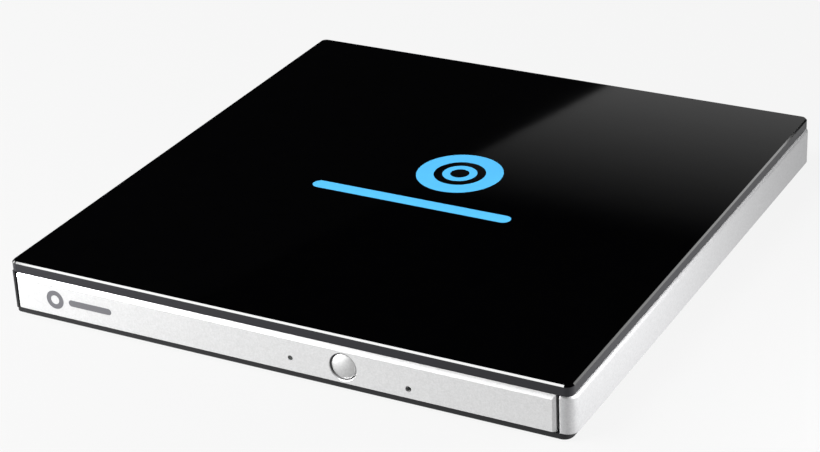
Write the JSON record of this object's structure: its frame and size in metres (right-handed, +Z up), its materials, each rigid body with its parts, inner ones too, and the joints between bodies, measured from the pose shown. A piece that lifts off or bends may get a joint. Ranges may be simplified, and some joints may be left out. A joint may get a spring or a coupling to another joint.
{
  "type": "external optical drive",
  "caption": "Slim desktop disc drive with a glossy black lid, a satin silver frame and a sliding tray with a round eject button.",
  "frame": {"origin": "on the resting plane, under the centre of the case's outline", "axes": "+Z up out of the lid; the tray opens towards -Y; +X is to the right seen from above with the tray nearest"},
  "size_m": [0.1396, 0.144, 0.0135],
  "materials": {
    "lid_gloss": "polished black",
    "frame_silver": "satin silver, fine grain",
    "bezel_silver": "satin silver, fine grain",
    "black_plastic": "fine texture",
    "tray_plastic": "fine texture",
    "white_plastic": "smooth",
    "clear_plastic": "clear",
    "soft_rubber": "matt",
    "tape": "thin double-sided tape",
    "sheet_steel": "galvanised",
    "bright_steel": "ground",
    "screw_steel": "plated",
    "zinc_casting": "die-cast",
    "circuit_board": "solder mask",
    "chip_black": "moulded",
    "flex_film": "amber film",
    "magnet": "sintered",
    "winding": "enamelled copper",
    "lens_glass": "coated"
  },
  "bodies": {
    "case": {"lid_panel": "lid_gloss", "lid_adhesive": "tape", "top_cover": "black_plastic", "side_frame": "frame_silver", "base_cover": "black_plastic", "rubber_feet": "soft_rubber", "case_screws": "screw_steel", "bridge_board": "circuit_board", "bridge_chips": "chip_black", "usb_socket_shell": "bright_steel", "usb_socket_tongue": "chip_black", "sata_receptacle": "chip_black", "drive_bottom_case": "sheet_steel", "drive_top_case": "sheet_steel", "drive_case_screws": "screw_steel", "rail_guides": "white_plastic", "latch_pin": "bright_steel", "main_board": "circuit_board", "main_board_chips": "chip_black", "sata_plug": "chip_black", "tray_flex_cable": "flex_film"},
    "rail_left": {"slide_rail_left": "bright_steel"},
    "rail_right": {"slide_rail_right": "bright_steel"},
    "tray": {"disc_tray": "tray_plastic", "tray_bezel": "bezel_silver", "button_switch": "chip_black", "front_board": "circuit_board", "light_pipe": "clear_plastic", "traverse_cover": "sheet_steel", "tray_screws": "screw_steel", "tray_board": "circuit_board", "traverse_chassis": "sheet_steel", "traverse_dampers": "soft_rubber", "guide_rods": "bright_steel", "sled_motor": "sheet_steel", "spindle_motor_plate": "sheet_steel", "spindle_stator": "winding", "latch_solenoid": "winding", "latch_spring": "bright_steel", "ejector_spring": "bright_steel"},
    "button": {"eject_button": "bezel_silver", "switch_plunger": "white_plastic"},
    "sled": {"sled_nut": "white_plastic", "pickup_body": "zinc_casting", "pickup_cover": "sheet_steel", "pickup_magnets": "magnet"},
    "lens": {"lens_holder": "chip_black", "objective_lens": "lens_glass"},
    "screw": {"lead_screw": "bright_steel"},
    "spindle": {"spindle_rotor": "bright_steel", "rotor_magnet": "magnet", "spindle_shaft": "bright_steel", "turntable_hub": "tray_plastic", "turntable_pad": "soft_rubber"},
    "claw_1": {"disc_claw_1": "white_plastic"},
    "claw_2": {"disc_claw_2": "white_plastic"},
    "claw_3": {"disc_claw_3": "white_plastic"},
    "latch": {"latch_lever": "white_plastic"},
    "plunger": {"latch_plunger": "bright_steel"},
    "ejector": {"ejector_slider": "white_plastic"}
  },
  "joints": [
    {"name": "tray_slide", "type": "slide", "parent": "case", "child": "tray", "axis": [0, -1, 0], "range_m": [0, 0.126], "deforming": ["tray_flex_cable"]},
    {"name": "rail_left_slide", "type": "slide", "parent": "case", "child": "rail_left", "axis": [0, -1, 0], "range_m": [0, 0.0631]},
    {"name": "rail_right_slide", "type": "slide", "parent": "case", "child": "rail_right", "axis": [0, -1, 0], "range_m": [0, 0.0631]},
    {"name": "spindle_spin", "type": "hinge", "parent": "tray", "child": "spindle", "pos_m": [0, -0.005, 0.005], "axis": [0, 0, 1], "continuous": true},
    {"name": "sled_travel", "type": "slide", "parent": "tray", "child": "sled", "axis": [-0.7071, -0.7071, 0], "range_m": [0, 0.0325]},
    {"name": "lead_screw_spin", "type": "hinge", "parent": "tray", "child": "screw", "pos_m": [-0.01372, -0.03371, 0.0045], "axis": [-0.7071, -0.7071, 0], "range_deg": [-3960, 0]},
    {"name": "lens_focus", "type": "slide", "parent": "sled", "child": "lens", "axis": [0, 0, 1], "range_m": [-0.0004, 0.0004], "stiffness_N_per_m": 30},
    {"name": "button_press", "type": "slide", "parent": "tray", "child": "button", "axis": [0, 1, 0], "range_m": [0, 0.0004], "stiffness_N_per_m": 1500},
    {"name": "latch_release", "type": "hinge", "parent": "tray", "child": "latch", "pos_m": [0.027, -0.056, 0.004], "axis": [0, 0, 1], "range_deg": [-11.5, 0], "deforming": ["latch_spring"]},
    {"name": "plunger_pull", "type": "slide", "parent": "tray", "child": "plunger", "axis": [1, 0, 0], "range_m": [0, 0.00175], "stiffness_N_per_m": 20},
    {"name": "ejector_push", "type": "slide", "parent": "tray", "child": "ejector", "axis": [0, 1, 0], "range_m": [0, 0.0127], "deforming": ["ejector_spring"]},
    {"name": "claw_1_press", "type": "slide", "parent": "spindle", "child": "claw_1", "axis": [0.7071, 0.7071, 0], "range_m": [0, 0.0005], "stiffness_N_per_m": 300},
    {"name": "claw_2_press", "type": "slide", "parent": "spindle", "child": "claw_2", "axis": [-0.9659, 0.2588, 0], "range_m": [0, 0.0006], "stiffness_N_per_m": 300},
    {"name": "claw_3_press", "type": "slide", "parent": "spindle", "child": "claw_3", "axis": [0.2588, -0.9659, 0], "range_m": [0, 0.0006], "stiffness_N_per_m": 300}
  ],
  "couplings": [
    {"joint": "rail_left_slide", "follows": "tray_slide", "ratio": 0.5},
    {"joint": "rail_right_slide", "follows": "tray_slide", "ratio": 0.5},
    {"joint": "ejector_push", "follows": "tray_slide", "ratio": 0.1},
    {"joint": "lead_screw_spin", "follows": "sled_travel", "rad_per_m": -2094.4},
    {"joint": "latch_release", "follows": "plunger_pull", "rad_per_m": -109.74},
    {"joint": "claw_2_press", "follows": "claw_1_press", "ratio": 1},
    {"joint": "claw_3_press", "follows": "claw_1_press", "ratio": 1}
  ]
}
